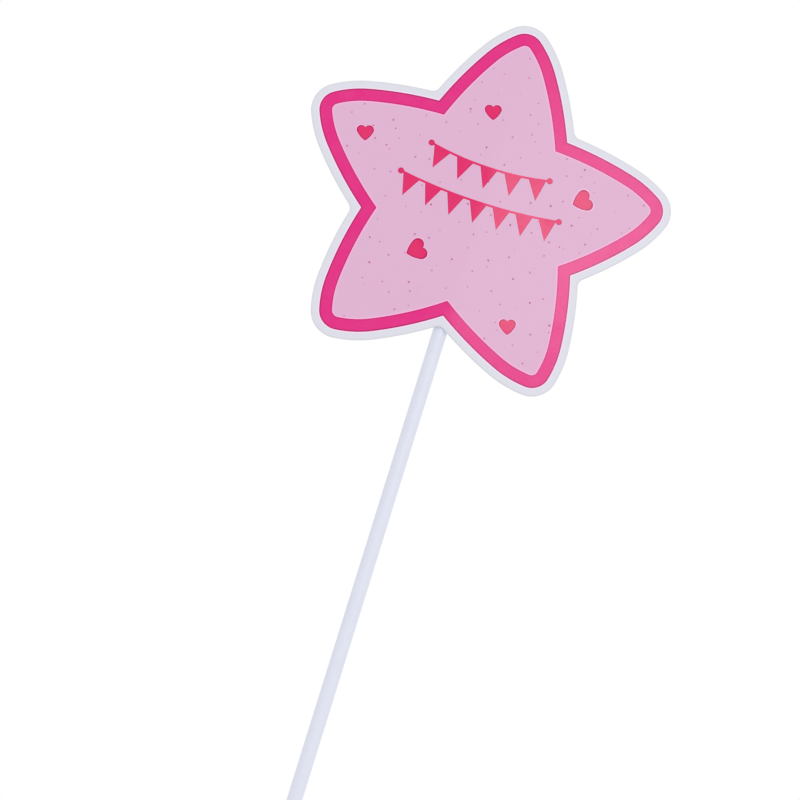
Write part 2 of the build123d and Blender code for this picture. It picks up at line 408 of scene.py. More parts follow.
def dots(tree, where, spacing, turn, randomness):
    """Voronoi texture on the card's plane, turned: one dot in each cell, at a spacing in millimetres."""
    plane = swung(tree, where, math.pi / 2, 0, turn)
    inputs = {"Vector": plane, "Scale": 1 / (spacing * MM), "Randomness": randomness}
    return add(tree, "TexVoronoi", inputs, voronoi_dimensions="2D")


def relief(tree, height, strength=1.0):
    """Normals of a relief whose height is given in millimetres."""
    inputs = {"Strength": strength, "Distance": MM, "Height": height}
    return add(tree, "Bump", inputs).outputs["Normal"]


# %% [markdown]
# ## Gloss film
#
# The printed front is covered with a thin clear film, rolled on with heat. It gives the card its shine, and
# also its faults: slow waves from the roller, a fine peel, smudges and hair scratches. A sheet of glass over
# the print would need many light bounces to look clear. A clear skin over a coloured ground is what the
# Principled shader already is, so the film is a group that gives every printed piece its roughness and
# relief.

# %% The film as a node group: its faults in millimetres, and how much they dull it
wave_size = 16
wave_height = 0.03
peel_size = 0.7
peel_height = 0.0002
smudge_size = 9
smudge_span = (0.45, 0.75)
smudge_dulling = 0.05
hair_sizes = (14, 5, 0.09)
hair_turn = math.radians(34)
hair_span = (0.72, 0.78)
hair_dulling = 0.16
tree, given, out = new_group("gloss_film", "NodeSocketFloat", ["Base roughness"], ["Roughness", "Height"])
waves = noise(tree, wave_size, detail=1.0)
peel = noise(tree, peel_size)
smudge = ramp(tree, noise(tree, smudge_size, detail=4.0, roughness=0.65), smudge_span)
hair_place = swung(tree, object_place(tree), 0, hair_turn, 0)
hair = ramp(tree, noise(tree, hair_sizes, detail=1.0, where=hair_place), hair_span)
worn = weighted(tree, (smudge, smudge_dulling), (hair, hair_dulling))
fill(tree, out, {
    "Roughness": calc(tree, "ADD", given.outputs["Base roughness"], worn),
    "Height": weighted(tree, (waves, wave_height), (peel, peel_height)),
})
gloss_film = tree
print("nodes in the film's group:", len(tree.nodes))

# %% [markdown]
# ## Printed ink
#
# The colours are offset print: a screen of tiny dots, a fifth of a millimetre apart and turned by 45
# degrees, in a layer that is never quite even. An image of it would blur up close, so the screen is a
# Voronoi texture with no randomness, which is a plain lattice of dots.

# %% The print screen as a node group
screen_pitch = 0.2
screen_turn = math.pi / 4
gap_span = (0.42, 0.68)
gap_shares = (0, 0.04)
cloud_size = 6
cloud_span = (0.3, 0.75)
cloud_shares = (0, 0.02)
tree, given, out = new_group("print_screen", "NodeSocketColor", ["Ink", "Paper"], ["Color"])
screen = dots(tree, object_place(tree), screen_pitch, screen_turn, 0.0)
gaps = ramp(tree, screen.outputs["Distance"], gap_span, gap_shares)
clouds = noise(tree, cloud_size, detail=5.0, roughness=0.6)
thin = calc(tree, "ADD", gaps, ramp(tree, clouds, cloud_span, cloud_shares))
fill(tree, out, {"Color": blend_colours(tree, thin, given.outputs["Ink"], given.outputs["Paper"])})
print_screen = tree
print("the print screen has", round(10 / screen_pitch), "dots to the centimetre")

# %% Board white and the inks, as linear colours
board_white = (0.758, 0.762, 0.836, 1)
magenta_ink = (0.79, 0.009, 0.224, 1)
magenta_rim = (0.44, 0.004, 0.12, 1)
pale_pink_ink = (0.768, 0.47, 0.66, 1)
rose_ink = (0.782, 0.005, 0.132, 1)
rose_rim = (0.46, 0.004, 0.09, 1)
bright_hairline = (0.95, 0.48, 0.74, 1)
speckle_ink = (0.46, 0.028, 0.20, 1)


def as_shown(colour):
    """What a screen shows for a linear colour: 255 times 1.055 c^(1/2.4) - 0.055 in each channel."""
    return [round(255 * (1.055 * c ** (1 / 2.4) - 0.055)) for c in colour[:3]]


print("on a screen the field's ink is", as_shown(pale_pink_ink), "and the board", as_shown(board_white))

# %% [markdown]
# A press squeezes solid ink a little towards the edge of its shape, so the band and the hearts have a thin
# darker rim, and the pale tint beside them starts with a hairline that is brighter than the rest. Solid ink
# also lies thicker and smoother than a pale tint, so it shines more under the same film. The shine is one
# number on the shader, and the rim is read from a value on the points: 0 inside, 1 at the edge of the ink
# and 2 past it.

# %% Ink under the film
film_roughness = 0.17
solid_shine = 0.3
tint_shine = 0.05
past_rim_span = (1.4, 1.6)


def under_film(tree, shader, colour, shine):
    """Gives a printed surface its colour and the film's shine and relief."""
    film = add(tree, "Group", {"Base roughness": film_roughness}, node_tree=gloss_film)
    fill(tree, shader, {
        "Base Color": colour,
        "Specular IOR Level": shine,
        "Roughness": film.outputs["Roughness"],
        "Normal": relief(tree, film.outputs["Height"]),
    })


def screened(tree, ink):
    """An ink's colour with its dot screen, printed on the white board."""
    colours = {"Ink": ink, "Paper": board_white}
    return add(tree, "Group", colours, node_tree=print_screen).outputs["Color"]


def printed_finish(name, ink, rim_ink):
    """Solid ink under the film, with its darker rim and a bright hairline past the rim."""
    finish, tree, shader = new_finish(name)
    rim = point_value(tree, "rim")
    rimmed = blend_colours(tree, ramp(tree, rim), screened(tree, ink), rim_ink)
    haloed = blend_colours(tree, ramp(tree, rim, past_rim_span), rimmed, bright_hairline)
    under_film(tree, shader, haloed, solid_shine)
    return finish


magenta_finish = printed_finish("magenta_print", magenta_ink, magenta_rim)
rose_finish = printed_finish("rose_print", rose_ink, rose_rim)
print("nodes in a solid ink's finish:", len(magenta_finish.node_tree.nodes))

# %% [markdown]
# ## Printed field and its speckles
#
# The pale pink field is sprinkled with fine speckles, a few tenths of a millimetre across and some
# millimetres apart. They are ink and have no thickness, so they belong in the colour. A second Voronoi
# texture, now with randomness, gives one spot to each cell: its distance output makes the spot, and its
# colour output, which is the same all over a cell, makes each spot a little larger, smaller or fainter.

# %% The field's finish
speckle_spacing = 4.7
speckle_sizes = (0.29, 0.52)
speckle_turn = 0.3
speckle_blur = 0.012
strength_span = (-0.5, 1.5)
strengths = (0.19, 0.94)
ragged_size = 0.5
ragged_shift = 0.25
pale_pink_finish, tree, shader = new_finish("pale_pink_print")
ragged = noise(tree, ragged_size, output="Color")
shift = {0: ragged, 1: (ragged_shift * MM,) * 3, 2: object_place(tree)}
shifted = add(tree, "VectorMath", shift, operation="MULTIPLY_ADD").outputs[0]
spots = dots(tree, shifted, speckle_spacing, speckle_turn, 1.0)
lot = add(tree, "SeparateColor", {0: spots.outputs["Color"]})
reaches = [size / speckle_spacing / 2 for size in speckle_sizes]
reach = ramp(tree, lot.outputs["Red"], to=reaches)
inside = calc(tree, "SUBTRACT", reach, spots.outputs["Distance"])
strength = ramp(tree, lot.outputs["Green"], strength_span, strengths)
share = calc(tree, "MULTIPLY", ramp(tree, inside, (-speckle_blur, speckle_blur)), strength)
speckled = blend_colours(tree, share, screened(tree, pale_pink_ink), speckle_ink)
hairline = ramp(tree, point_value(tree, "edge"))
under_film(tree, shader, blend_colours(tree, hairline, speckled, bright_hairline), tint_shine)
print("speckles are", speckle_sizes, "mm across and about", speckle_spacing, "mm apart")

# %% [markdown]
# ## The field's piece
#
# Every point of the star's edge can be seen from its centre. So the field is the outline times a share,
# from the centre to the edge on the front, and the same way back to the centre on the rear.


# %% Plates of nested outlines
def nested(outline, centre, shares):
    """Copies of an outline drawn in towards a centre: the centre plus a share of the way to the outline."""
    return centre + (outline - centre) * np.asarray(shares)[:, None, None]


def plate(outlines, centre, front, rear_step=1):
    """Closed plate on the card: nested outlines on its front, some of them again on its rear, and two poles.

    The outlines run from the middle to the edge. The rear lies on the board, and takes every rear_step-th
    outline from the edge back to the middle.
    """
    rings = np.concatenate([on_card(outlines, front), on_card(outlines[::-rear_step], card_thickness)])
    poles = np.stack([on_card(centre, front), on_card(centre, card_thickness)])
    return ring_surface(rings, poles)


# %% Field
print_notch_round = 0.12
hairline_width = 0.24
hairline_fade = 0.18
field_rear_step = 6
field_shares = np.linspace(0.03, 1.0, 46)
hairline_grows = np.array([-hairline_width - hairline_fade, -hairline_width, 0]) - band_width
plain_edge, hairline_start, field_edge = (star_outline(grow, print_notch_round) for grow in hairline_grows)
field_outlines = np.concatenate([nested(plain_edge, 0, field_shares), [hairline_start, field_edge]])
field_surface = plate(field_outlines, np.zeros(2), film_front, field_rear_step)
near_edge = np.repeat(np.append(np.zeros(len(field_shares)), [1, 1]), len(field_edge))
make_piece("pink_field", field_surface, pale_pink_finish, "pale_pink_ink", "print_field", edge=near_edge)

# %% [markdown]
# ## The printed band
#
# The magenta band has the same width everywhere, so its two edges are the same star at two sizes. A curve
# with a flat bevel would pinch at the notches. Here the rows of the grid are stars that grow from the inner
# edge to the outer one on the front, two more lie on the back, and the last row joins the first.


# %% Band
def star_rings(grows, notch_rounds, depths):
    """Rings on the card: one star outline for each size, carried onto the card at its own depth."""
    rows = np.broadcast(grows, notch_rounds, depths)
    return np.stack([on_card(star_outline(grow, notch), depth) for grow, notch, depth in rows])


rim_width = 0.2
rim_fade = 0.2
inner_rim_share = 0.55
rim_rows = np.array([0, rim_width, rim_width + rim_fade])
middle_rows = np.linspace(rim_rows[-1], band_width - rim_rows[-1], 4)[1:-1]
band_rows = np.concatenate([rim_rows, middle_rows, band_width - rim_rows[::-1]]) - band_width
band_grows = np.append(band_rows, [0, -band_width])
band_depths = np.append(np.full(len(band_rows), film_front), [card_thickness] * 2)
band_surface = ring_surface(star_rings(band_grows, print_notch_round, band_depths))
band_rim = np.repeat([inner_rim_share, inner_rim_share, 0, 0, 0, 0, 1, 1], len(field_edge))
make_piece("magenta_band", band_surface, magenta_finish, "magenta_ink", "print_band", rim=band_rim)

# %% [markdown]
# ## The film's bare margin
#
# Outside the band the film lies on bare white board, cut a little wider than the print. This margin is
# where the film is seen by itself, so it is the piece that stands for the film. Its front edge is slightly
# rounded, as the cutting rule leaves it, and the white turns a shade greyer there. Beside the band the
# white has caught a breath of ink, which makes a bright line.

# %% Margin finish
margin_grey = (0.66, 0.665, 0.70, 1)
margin_bright = (0.99, 0.74, 0.94, 1)
margin_fibre_size = 1.6
fibre_span = (0.3, 0.75)
margin_fibre_greys = (0, 0.14)
cut_span = (0.72, 1)
cut_greys = (0, 0.45)
bright_span = (0.09, 0.19)
margin_white, tree, shader = new_finish("bare_margin")
fibre = noise(tree, margin_fibre_size, detail=6.0, roughness=0.7)
rim = point_value(tree, "rim")
cut = ramp(tree, rim, cut_span, cut_greys)
grey = calc(tree, "ADD", ramp(tree, fibre, fibre_span, margin_fibre_greys), cut, clamp=True)
aged = blend_colours(tree, grey, board_white, margin_grey)
bright = ramp(tree, rim, bright_span, (1, 0))
under_film(tree, shader, blend_colours(tree, bright, aged, margin_bright), tint_shine)
print("the cut edge shows as", as_shown(margin_grey), "and the inner line as", as_shown(margin_bright))

# %% Margin
cut_round = 0.05
cut_turn = np.radians([0, 30, 60, 90])
cut_grows = bare_edge - cut_round * (1 - np.sin(cut_turn))
cut_drops = cut_round * (1 - np.cos(cut_turn))
flat_rows = np.linspace(0, cut_grows[0], 8)[:-1]
flat_depths = np.full(len(flat_rows), film_front)
margin_grows = np.concatenate([flat_rows, cut_grows, [bare_edge, 0]])
margin_depths = np.concatenate([flat_depths, film_front - cut_drops, [card_thickness] * 2])
margin_notches = print_notch_round + (card_notch_round - print_notch_round) * margin_grows / bare_edge
margin_surface = ring_surface(star_rings(margin_grows, margin_notches, margin_depths))
margin_rim = np.repeat(margin_grows / bare_edge, len(field_edge))
make_piece("film_margin", margin_surface, margin_white, "clear_film", "gloss_film", rim=margin_rim)

# %% [markdown]
# ## Hearts
#
# Five hearts are printed in the field. A heart is two round lobes and two wide sides that run to a point,
# again arcs only. It is drawn once, then turned, moved to each place and laid on the card.

# %% Heart outline, in shares of its width
lobe_round_share = 0.275
lobe_place_share = 0.5 - lobe_round_share
point_share = 0.645
side_round_share = 1.3
lobe_steps = 20
side_steps = 12


def heart_outline(width):
    """Closed heart about the middle of its lobes: a lobe's arc, a wide arc to the point, and the mirror."""
    lobe = np.array([lobe_place_share * width, 0])
    lobe_round = lobe_round_share * width
    point = np.array([0, -point_share * width])
    side_round = side_round_share * width
    centre = side_centre(lobe, lobe_round, point, side_round)
    dip = heading((-lobe[0], math.sqrt(lobe_round**2 - lobe[0] ** 2)))
    joint = heading(lobe - centre)
    crown = arc(lobe, lobe_round, dip, joint, lobe_steps)
    side = arc(centre, side_round, joint, heading(point - centre), side_steps)
    half = np.concatenate([crown, side[1:]])
    return np.concatenate([half, (half * [-1, 1])[-2:0:-1]])


print("points round a heart:", len(heart_outline(1.0)))


# %% Hearts in their places: width, lean, and places as shares of the notch radius with angles
def joined(slabs):
    """Pairs of a surface and its front values as one: face numbers move on by the points before them."""
    points, faces = zip(*(surface for surface, _ in slabs))
    starts = np.cumsum([0] + [len(block) for block in points])
    faces = [block + start for blocks, start in zip(faces, starts) for block in blocks]
    values = [front_first(*slab) for slab in slabs]
    return (np.concatenate(points), faces), np.concatenate(values)


small_hearts = (4.12, 15.8, [(0.888, 97.5), (1.177, 162.2), (1.049, -58.3)])
large_hearts = (5.23, -52.8, [(0.963, 22.7), (0.619, -126.0)])
shape_lift = print_relief / 2
heart_middle_share = 0.15
heart_shares = [0.3, 0.6, 0.8, 0.92, 1.0, 1.004, 1.1]
heart_rims = [0, 0, 0, 1, 1, 2, 2]
heart_slabs = []
for width, lean_angle, places in (small_hearts, large_hearts):
    lean = math.radians(lean_angle)
    for share, angle in places:
        spot = turned(np.array([share * notch_radius, 0]), math.radians(angle))
        middle = spot + turned(np.array([0, -heart_middle_share * width]), lean)
        outline = spot + turned(heart_outline(width), lean)
        heart = plate(nested(outline, middle, heart_shares), middle, film_front + shape_lift)
        heart_slabs.append((heart, np.repeat(heart_rims, len(outline))))
hearts, heart_values = joined(heart_slabs)
make_piece("rose_hearts", hearts, rose_finish, "rose_ink", "print_hearts", rim=heart_values)

# %% [markdown]
# ## Bunting
#
# Two strings of pennants fill the middle of the star. Each string sags as an arc about a hub high above it,
# and the pennants hang square to it, pointing away from the hub. So everything is placed by an angle and a
# distance from that hub, and one small function turns these into flat points.

# %% Bunting sizes, with each row's half span and height as shares of the notch radius, and its pennants
string_width = 0.55
string_sag = 1.7
string_steps = 60
knot_diameter = 1.5
knot_steps = 24
knot_shares = [0.5, 0.7, 1.0]
knot_rims = [0, 0, 1]
pennant_width = 4.3
pennant_height = 5.2
pennant_blunt = 0.1
string_lift = print_relief * 0.75
knot_lift = print_relief
bunting_rows = ((0.54, 0.43, 5), (0.72, 0.11, 7))
pennant_falls = np.concatenate([[0], np.linspace(0.06, 0.94, 8), [1]])
pennant_sides = np.concatenate([[-0.5], np.linspace(-0.42, 0.42, 5), [0.5]])
print("pennants:", sum(pennants for _, _, pennants in bunting_rows))


# %% One row of bunting
def ink_slab(flat, lift, rim):
    """A patch of ink on the card, raised a hair above the field, and the rim values of its front."""
    return patch_surface(on_card(flat, film_front + lift), on_card(flat, card_thickness)), rim


def bunting_row(half_span, height, pennants):
    """Patches of one row and their rim values: the pennants, the string and its two knots.

    The string's radius is (half span^2 + sag^2) / (2 sag). A point is the hub plus its distance times the
    direction at its angle, and a pennant narrows evenly from the string to its blunt point.
    """
    swing = (half_span**2 + string_sag**2) / (2 * string_sag)
    half_turn = math.asin(half_span / swing)
    hub = np.array([0, height + swing - string_sag])

    def from_hub(angle, distance, aside=0.0):
        """Flat points at an angle from straight down and a distance from the hub, moved along the string."""
        down = np.stack([np.sin(angle), -np.cos(angle)], axis=-1)
        along = np.stack([np.cos(angle), np.sin(angle)], axis=-1)
        return hub + down * np.asarray(distance)[..., None] + along * np.asarray(aside)[..., None]

    fall, side = np.meshgrid(pennant_falls, pennant_sides, indexing="ij")
    aside = side * (pennant_width * (1 - fall) + pennant_blunt * fall)
    rim = np.ones_like(fall)
    rim[1:-1, 1:-1] = 0
    turns = half_turn * ((2 * np.arange(pennants) + 1) / pennants - 1)
    flats = [from_hub(np.full_like(fall, turn), swing + fall * pennant_height, aside) for turn in turns]
    slabs = [ink_slab(flat, shape_lift, rim) for flat in flats]
    string_turns = np.linspace(-half_turn, half_turn, string_steps)
    angle, side = np.meshgrid(string_turns, [-0.5, 0, 0.5], indexing="ij")
    slabs.append(ink_slab(from_hub(angle, swing + side * string_width), string_lift, np.zeros_like(side)))
    for end in (-half_span, half_span):
        middle = np.array([end, height])
        circle = arc(middle, knot_diameter / 2, 0, 2 * math.pi, knot_steps + 1)[:-1]
        knot = plate(nested(circle, middle, knot_shares), middle, film_front + knot_lift)
        slabs.append((knot, np.repeat(knot_rims, len(circle))))
    return slabs


# %% Bunting
bunting_slabs = []
for span_share, height_share, pennants in bunting_rows:
    bunting_slabs += bunting_row(span_share * notch_radius, height_share * notch_radius, pennants)
bunting, bunting_values = joined(bunting_slabs)
make_piece("rose_bunting", bunting, rose_finish, "rose_ink", "print_bunting", rim=bunting_values)

# %% [markdown]
# ## The board
#
# Under the print is a white board, half a millimetre thick. Its back is uncoated: it has fibres, faint grey
# specks and a soft tooth. Its cut edge shows the plies, pressed a little by the cutting rule. The shape is
# one profile carried round the star: out along the back, round the edge, and in again along the front.

# %% Board finish
ply_grey = (0.70, 0.70, 0.715, 1)
board_back = (0.74, 0.745, 0.79, 1)
board_fibre_sizes = (2.6, 0.6, 0.35)
board_fibre_greys = (0, 0.35)
board_fibre_height = 0.006
tooth_size = 0.18
tooth_height = 0.004
speck_size = 0.5
speck_span = (0.74, 0.8)
speck_greys = (0, 0.5)
ply_count = 5
ply_start = 0.02
ply_span = (-0.2, 0.9)
ply_greys = (0.1, 0.7)
dull_span = (0.2, 0.8)
board_dullness = (0.62, 0.8)
board_relief = 0.6
uncoated_board, tree, shader = new_finish("white_board")
fibre = noise(tree, board_fibre_sizes, detail=5.0, roughness=0.65)
tooth = noise(tree, tooth_size, detail=3.0)
speck = ramp(tree, noise(tree, speck_size, detail=1.0), speck_span, speck_greys)
ply = point_value(tree, "ply")
lines = calc(tree, "SINE", calc(tree, "MULTIPLY", ply, ply_count * 2 * math.pi))
on_edge = calc(tree, "GREATER_THAN", ply, ply_start)
cut = calc(tree, "MULTIPLY", on_edge, ramp(tree, lines, ply_span, ply_greys))
back_grey = calc(tree, "ADD", ramp(tree, fibre, fibre_span, board_fibre_greys), speck)
grey = calc(tree, "ADD", back_grey, cut, clamp=True)
rough = weighted(tree, (fibre, board_fibre_height), (tooth, tooth_height))
fill(tree, shader, {
    "Base Color": blend_colours(tree, grey, board_back, ply_grey),
    "Roughness": ramp(tree, fibre, dull_span, board_dullness),
    "Normal": relief(tree, rough, board_relief),
})
print("nodes in the board's finish:", len(tree.nodes))

# %% Board
face_shares = np.linspace(0.04, 0.985, 40)
front_face_step = 4
ply_depths = np.append(np.linspace(0.12, card_thickness - 0.02, 6), card_thickness)
edge_grows = np.append(cut_grows, np.full(len(ply_depths), bare_edge))
edge_depths = np.append(cut_drops, ply_depths)
edge_rings = star_rings(edge_grows, card_notch_round + bare_edge - edge_grows, edge_depths)
face = nested(star_outline(cut_grows[0], card_notch_round + cut_round), 0, face_shares)
front_face = on_card(face[::-front_face_step], card_thickness)
board_rings = np.concatenate([on_card(face, 0), edge_rings, front_face])
board_poles = np.stack([on_card(np.zeros(2), 0), on_card(np.zeros(2), card_thickness)])
board_surface = ring_surface(board_rings, board_poles)
ply_rows = np.append(np.zeros(len(face)), edge_depths / card_thickness)
plies = np.repeat(ply_rows, len(field_edge))
make_piece("star_board", board_surface, uncoated_board, "white_board", "star_card", ply=plies)

# %% [markdown]
# ## The stick
#
# The stick is an extruded tube of white plastic. Below the card it is round and hollow, and behind the card
# its upper end is pressed flat and welded, so that the card lies on it. A loft between a circle and a slot
# does that: each ring keeps its number of points, while its radius, its straight sides and the angles of
# its points change from round to flat along the stick.

# %% Stick finish
stick_white = (0.765, 0.79, 0.90, 1)
stick_shade = (0.66, 0.68, 0.75, 1)
drawn_line_sizes = (0.22, 0.22, 70)
drawn_line_height = 0.006
stick_cloud_size = 4
shade_span = (0.35, 0.75)
line_shades = (0, 0.18)
cloud_shades = (0, 0.12)
satin_span = (0.3, 0.7)
satin_dullness = (0.30, 0.38)
scuff_sizes = (0.8, 0.8, 3)
scuff_span = (0.6, 0.8)
scuff_height = 0.003
scuff_dulling = 0.14
stick_relief = 0.5
white_plastic, tree, shader = new_finish("white_plastic")
lines = noise(tree, drawn_line_sizes, detail=3.0)
cloud = noise(tree, stick_cloud_size, detail=3.0)
scuff = ramp(tree, noise(tree, scuff_sizes, detail=5.0, roughness=0.7), scuff_span)
line_shade = ramp(tree, lines, shade_span, line_shades)
shade = calc(tree, "ADD", line_shade, ramp(tree, cloud, shade_span, cloud_shades))
satin = ramp(tree, cloud, satin_span, satin_dullness)
drawn = weighted(tree, (lines, drawn_line_height), (scuff, scuff_height))
fill(tree, shader, {
    "Base Color": blend_colours(tree, shade, stick_white, stick_shade),
    "Roughness": weighted(tree, (satin, 1), (scuff, scuff_dulling)),
    "Normal": relief(tree, drawn, stick_relief),
})
print("on a screen the stick is", as_shown(stick_white))

# %% Stick sizes
stick_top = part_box("stick")[1].z / MM
press_round = 0.85
press_straight = crest_half - press_round
press_run = 10.0
bore_radius = 0.95
end_chamfer = 0.15
round_top = frame["record"]["mounts"][0]["dims"]["length_mm"] + end_chamfer
flat_from = round_top + press_run
wall = stick_radius - bore_radius
end_steps = 17
flat_steps = 9
print("the stick is round up to", round(round_top, 2), "mm and flat from", round(flat_from, 2), "mm")


# %% Stick rings
def smooth_step(value, low, high):
    """0 below low, 1 above high, and 3t^2 - 2t^3 between."""
    t = np.clip((value - low) / (high - low), 0, 1)
    return t * t * (3 - 2 * t)


def stick_rings(sections):
    """Rings of the stick from rows of height, flatness and inset.

    A slot's points go round its right end, along its back, round its left end and along its front. On the
    straight stretches the angle stands still and the side runs from one end to the other. X is radius times
    cos(angle) plus half length times side. Y is radius times sin(angle) about a middle that moves forward as
    the stick gets thinner, so that its front line stays against the card.
    """
    end = np.linspace(-math.pi / 2, math.pi / 2, end_steps)
    run = np.linspace(1, -1, flat_steps)[1:-1]
    straight = np.full_like(run, math.pi / 2)
    slot_angle = np.concatenate([end, straight, end + math.pi, straight + math.pi])
    slot_side = np.concatenate([np.ones_like(end), run, -np.ones_like(end), -run])
    round_angle = -math.pi / 2 + 2 * math.pi * np.arange(len(slot_angle)) / len(slot_angle)
    height, flatness, inset = (column[:, None] for column in sections.T)
    angle = round_angle * (1 - flatness) + slot_angle * flatness
    middle = (press_round - stick_radius) * flatness
    radius = stick_radius + middle - inset
    x = radius * np.cos(angle) + press_straight * flatness * slot_side
    y = radius * np.sin(angle) + middle
    return np.stack([x, y, np.broadcast_to(height, x.shape)], axis=-1)


def stretch(heights, flatness, inset):
    """Sections at some heights, as rows of height, flatness and inset."""
    return np.stack(np.broadcast_arrays(np.asarray(heights, dtype=float), flatness, inset), axis=-1)


# %% Stick, from its upper end down to its lower end and up inside the bore
top_drops = np.array([0, 0, 0.03, 0.15])
top_insets = [0.6, 0.2, 0.07, 0]
flat_start = 0.6
mouth_heights = [0, 0, 0.08]
mouth_insets = [end_chamfer, wall - 0.1, wall]
bore_start = 0.5
press_share = np.linspace(1, 0, 20)[1:]
sections = np.concatenate([
    stretch(stick_top - top_drops, 1, top_insets),
    stretch(np.linspace(stick_top - flat_start, flat_from, 30), 1, 0),
    stretch(round_top + press_run * press_share, smooth_step(press_share, 0, 1), 0),
    stretch(np.linspace(round_top, end_chamfer, 24)[1:], 0, 0),
    stretch(mouth_heights, 0, mouth_insets),
    stretch(np.linspace(bore_start, round_top, 12), 0, wall),
])
stick_poles = np.array([[0, press_round - stick_radius, stick_top], [0, 0, round_top + press_run / 2]])
stick_surface = ring_surface(stick_rings(sections), stick_poles)
make_piece("plastic_stick", stick_surface, white_plastic, "white_plastic", "stick")

# %% [markdown]
# ## Tape
#
# A strip of clear tape holds the card on the stick. It lies flat on the card's back and climbs over the
# stick's flat end, and its ends have the teeth of the dispenser's blade. It is a patch: across, a smooth
# step carries it from the card up to the stick, and along, a zigzag trims its two ends.

# %% Tape finish
tape_clear = (0.86, 0.855, 0.82, 1)
tape_bubble = (0.93, 0.93, 0.92, 1)
bubble_size = 2.4
bubble_span = (0.56, 0.68)
bubble_height = 0.02
bubble_haze = 0.2
lifted_haze = 0.12
tape_line_sizes = (60, 1, 0.12)
tape_line_span = (0.3, 0.7)
tape_line_hazes = (0.20, 0.26)
tape_line_dullness = (0.12, 0.24)
tape_line_height = 0.004
tape_relief = 0.7
clear_tape, tree, shader = new_finish("clear_tape")
air = ramp(tree, noise(tree, bubble_size, detail=3.0, roughness=0.6), bubble_span)
lines = noise(tree, tape_line_sizes, detail=2.0)
haze = ramp(tree, lines, tape_line_span, tape_line_hazes)
lifted = point_value(tree, "lifted")
uneven = weighted(tree, (lines, tape_line_height), (air, bubble_height))
fill(tree, shader, {
    "Base Color": blend_colours(tree, air, tape_clear, tape_bubble),
    "Alpha": weighted(tree, (haze, 1), (air, bubble_haze), (lifted, lifted_haze)),
    "Roughness": ramp(tree, lines, tape_line_span, tape_line_dullness),
    "Normal": relief(tree, uneven, tape_relief),
})
print("nodes in the tape's finish:", len(tree.nodes))

# %% Tape
tape_low, tape_high = (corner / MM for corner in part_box("back_tape"))
tape_thickness = 0.1
tape_gap = 0.01
tape_bridge = 3.0
tape_hold = 0.25
tooth_pitch = 1.1
tooth_depth = 0.45
across_steps = 97
along_steps = 60
stick_back = 2 * press_round - stick_radius
across_line = np.linspace(tape_low.x, tape_high.x, across_steps)
across, along = np.meshgrid(across_line, np.linspace(0, 1, along_steps), indexing="ij")
teeth = tooth_depth * np.abs((across / tooth_pitch) % 1 * 2 - 1)
tape_z = tape_low.z + teeth + along * (tape_high.z - tape_low.z - 2 * teeth)
card_y = card_back(across)
on_stick = 1 - smooth_step(np.abs(across), press_straight + tape_hold, crest_half + tape_bridge)
under_y = card_y + (stick_back - card_y) * on_stick + tape_gap
over_y = under_y + tape_thickness - 2 * tape_gap
tape_under, tape_over = (np.stack([across, y, tape_z], axis=-1) for y in (under_y, over_y))
tape_surface = patch_surface(tape_over, tape_under)
free_tape = np.tile((4 * on_stick * (1 - on_stick)).ravel(), 2)
make_piece("tape_strip", tape_surface, clear_tape, "clear_tape", "back_tape", lifted=free_tape)

# %% [markdown]
# ## Floor and white surroundings
#
# The photograph has a plain white ground. The floor is pale and keeps the object's soft shadow near the
# stick, and further out it turns into plain white, so that no horizon shows. Light Path makes that white
# for the camera and for reflections only, and the light that falls on the object stays at a studio's level.

# %% Seen directly or in a reflection
plain_white = (1, 1, 1, 1)


def seen_share(tree):
    """1 for rays that show the ground to the eye: straight, mirrored or through something clear."""
    path = add(tree, "LightPath")
    mirrored = calc(tree, "MAXIMUM", path.outputs["Is Glossy Ray"], path.outputs["Is Transmission Ray"])
    return calc(tree, "MAXIMUM", path.outputs["Is Camera Ray"], mirrored)


# %% Floor, in metres
floor_reach = 3.0
floor_depth = 0.01
floor_drop = 0.0002
shadow_span = (0.004, 0.055)
white_shares = (0.3, 1)
floor_grain_size = 30
floor_pale = (0.90, 0.90, 0.91, 1)
floor_paler = (0.93, 0.93, 0.935, 1)
pale_floor, tree, _ = new_finish("pale_floor")
tree.nodes.clear()
away = add(tree, "VectorMath", {0: object_place(tree)}, operation="LENGTH").outputs["Value"]
grain = noise(tree, floor_grain_size, detail=4.0)
lit = add(tree, "BsdfDiffuse", {"Color": blend_colours(tree, grain, floor_pale, floor_paler)})
white = add(tree, "Emission", {"Color": plain_white, "Strength": 1.0})
share = calc(tree, "MULTIPLY", ramp(tree, away, shadow_span, white_shares), seen_share(tree))
ground = add(tree, "MixShader", {0: share, 1: lit.outputs[0], 2: white.outputs[0]})
add(tree, "OutputMaterial", {"Surface": ground.outputs[0]})
floor_x, floor_y = np.meshgrid([-floor_reach, floor_reach], [-floor_reach, floor_reach])
floor_top = np.stack([floor_x, floor_y, np.full_like(floor_x, -floor_drop)], axis=-1)
floor_surface = patch_surface(floor_top, floor_top - [0, 0, floor_depth])
floor = make_object("floor", floor_surface, pale_floor, 1)

# %% World
studio_level = 0.845
world = bpy.data.worlds.new("white_studio")
world.use_nodes = True
scene.world = world
tree = world.node_tree
tree.nodes.clear()
studio = add(tree, "Background", {"Color": plain_white, "Strength": studio_level})
backdrop = add(tree, "Background", {"Color": plain_white, "Strength": 1.0})
ends = {0: seen_share(tree), 1: studio.outputs[0], 2: backdrop.outputs[0]}
surroundings = add(tree, "MixShader", ends)
add(tree, "OutputWorld", {"Surface": surroundings.outputs[0]})
print("studio light level", studio_level)

# %% [markdown]
# ## Lamps
#
# A soft box stands to the right of the camera, a little above it. It is placed by what the film mirrors:
# the right wing of the card has to see it and the left wing must not, so its left edge is only a few
# degrees to the right of the line that the ridge mirrors. A larger key lamp hangs higher, where the card
# mirrors nothing into the camera, and a third one stands behind, because the card's back would otherwise lie
# in its own shade.

